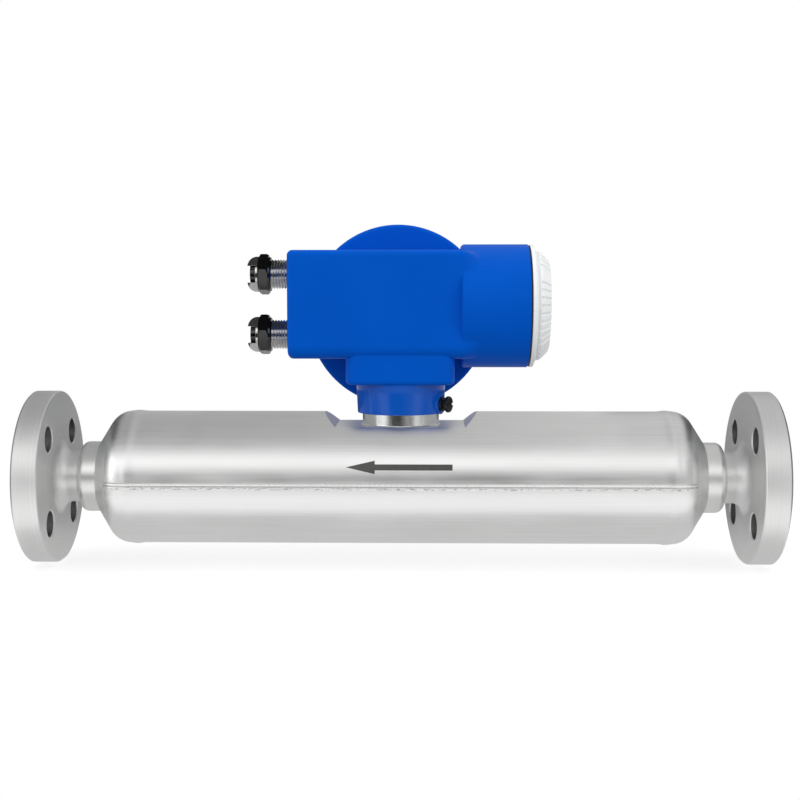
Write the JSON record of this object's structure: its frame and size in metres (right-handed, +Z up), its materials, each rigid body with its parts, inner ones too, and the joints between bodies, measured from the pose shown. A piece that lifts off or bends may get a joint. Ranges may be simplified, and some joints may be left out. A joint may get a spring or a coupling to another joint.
{
  "type": "coriolis flow meter",
  "caption": "In-line coriolis mass flow meter: welded steel casing between pipe flanges, with a blue transmitter head that turns on its neck.",
  "frame": {"origin": "centre of the raised face of the inlet flange, on the pipe axis", "axes": "+X along the pipe out of the inlet, against the flow; +Z up through the neck; +Y towards the display side"},
  "size_m": [0.41, 0.1192, 0.1878],
  "materials": {
    "flange_steel": "turned stainless steel, fine and satin",
    "turned_steel": "turned stainless steel",
    "casing_steel": "drawn stainless steel sheet, brushed along its length",
    "weld_steel": "ground stainless steel weld",
    "tube_steel": "drawn stainless steel tube and sheet",
    "coil_copper": "enamelled copper winding",
    "magnet_nickel": "nickel plated magnet",
    "grey_plastic": "moulded plastic",
    "black_plastic": "moulded plastic, fine grain",
    "black_rubber": "soft black rubber",
    "brass_parts": "turned brass",
    "blue_paint": "powder coated aluminium casting, half gloss",
    "white_paint": "powder coated aluminium casting, half gloss",
    "board_green": "solder mask on glass fibre",
    "display_glass": "dark display glass",
    "zinc_screws": "zinc plated steel",
    "aluminium_plate": "milled aluminium",
    "window_glass": "clear toughened glass",
    "gland_nickel": "dark nickel plated brass",
    "black_steel": "black oxidised steel"
  },
  "bodies": {
    "sensor": {"inlet_flange": "flange_steel", "outlet_flange": "flange_steel", "inlet_splitter": "turned_steel", "outlet_splitter": "turned_steel", "upper_shell": "casing_steel", "lower_shell": "casing_steel", "front_seam_weld": "weld_steel", "back_seam_weld": "weld_steel", "inlet_end_cone": "casing_steel", "outlet_end_cone": "casing_steel", "front_tube": "tube_steel", "back_tube": "tube_steel", "inlet_brace_plates": "tube_steel", "outlet_brace_plates": "tube_steel", "front_arms": "tube_steel", "back_arms": "tube_steel", "drive_coil": "coil_copper", "drive_magnet": "magnet_nickel", "inlet_pickoff_coil": "coil_copper", "inlet_pickoff_magnet": "magnet_nickel", "outlet_pickoff_coil": "coil_copper", "outlet_pickoff_magnet": "magnet_nickel", "temperature_probe": "grey_plastic", "neck": "turned_steel", "neck_seal": "black_rubber", "neck_feedthrough": "brass_parts"},
    "head": {"transmitter_housing": "blue_paint", "wall_plug": "black_plastic", "power_board": "board_green", "main_board": "board_green", "board_pillars": "brass_parts", "board_spacers": "brass_parts", "display_panel": "display_glass", "display_frame": "black_plastic", "touch_windows": "display_glass", "display_screws": "zinc_screws", "terminal_carrier": "aluminium_plate", "terminal_block": "grey_plastic", "terminal_screws": "zinc_screws", "ground_screw": "brass_parts", "upper_gland_body": "gland_nickel", "lower_gland_body": "gland_nickel"},
    "display_seal": {"display_cover_seal": "black_rubber"},
    "display_cover": {"display_cover": "blue_paint", "window_glass": "window_glass", "window_retainer": "aluminium_plate"},
    "terminal_seal": {"terminal_cover_seal": "black_rubber"},
    "terminal_cover": {"terminal_cover": "white_paint"},
    "upper_insert": {"upper_gland_insert": "black_rubber"},
    "upper_nut": {"upper_gland_nut": "gland_nickel"},
    "lower_insert": {"lower_gland_insert": "black_rubber"},
    "lower_nut": {"lower_gland_nut": "gland_nickel"},
    "lock_washer": {"lock_washer": "black_steel"},
    "lock_screw": {"lock_screw": "black_steel"}
  },
  "joints": [
    {"name": "head_turn", "type": "hinge", "parent": "sensor", "child": "head", "pos_m": [-0.205, 0, 0.0414], "axis": [0, 0, 1], "range_deg": [-175, 175]},
    {"name": "display_cover_travel", "type": "slide", "parent": "head", "child": "display_seal", "axis": [0, 1, 0], "range_m": [0, 0.008]},
    {"name": "display_cover_turn", "type": "hinge", "parent": "display_seal", "child": "display_cover", "pos_m": [-0.207, 0, 0.0889], "axis": [0, 1, 0], "range_deg": [0, 1440]},
    {"name": "terminal_cover_travel", "type": "slide", "parent": "head", "child": "terminal_seal", "axis": [1, 0, 0], "range_m": [0, 0.008]},
    {"name": "terminal_cover_turn", "type": "hinge", "parent": "terminal_seal", "child": "terminal_cover", "pos_m": [-0.205, 0, 0.0945], "axis": [1, 0, 0], "range_deg": [0, 1440]},
    {"name": "upper_gland_nut_travel", "type": "slide", "parent": "head", "child": "upper_insert", "axis": [-1, 0, 0], "range_m": [0, 0.003]},
    {"name": "upper_gland_nut_turn", "type": "hinge", "parent": "upper_insert", "child": "upper_nut", "pos_m": [-0.2828, 0, 0.1118], "axis": [-1, 0, 0], "range_deg": [0, 720]},
    {"name": "lower_gland_nut_travel", "type": "slide", "parent": "head", "child": "lower_insert", "axis": [-1, 0, 0], "range_m": [0, 0.003]},
    {"name": "lower_gland_nut_turn", "type": "hinge", "parent": "lower_insert", "child": "lower_nut", "pos_m": [-0.2828, 0, 0.0789], "axis": [-1, 0, 0], "range_deg": [0, 720]},
    {"name": "lock_screw_travel", "type": "slide", "parent": "head", "child": "lock_washer", "axis": [0.9063, -0.4226, 0], "range_m": [0, 0.002]},
    {"name": "lock_screw_turn", "type": "hinge", "parent": "lock_washer", "child": "lock_screw", "pos_m": [-0.205, 0, 0.0414], "axis": [0.9063, -0.4226, 0], "range_deg": [0, 720]}
  ],
  "couplings": [
    {"joint": "display_cover_travel", "follows": "display_cover_turn", "m_per_rad": 0.00031831},
    {"joint": "terminal_cover_travel", "follows": "terminal_cover_turn", "m_per_rad": 0.00031831},
    {"joint": "upper_gland_nut_turn", "follows": "upper_gland_nut_travel", "rad_per_m": 4188.8},
    {"joint": "lower_gland_nut_turn", "follows": "lower_gland_nut_travel", "rad_per_m": 4188.8},
    {"joint": "lock_screw_turn", "follows": "lock_screw_travel", "rad_per_m": 6283.2}
  ]
}
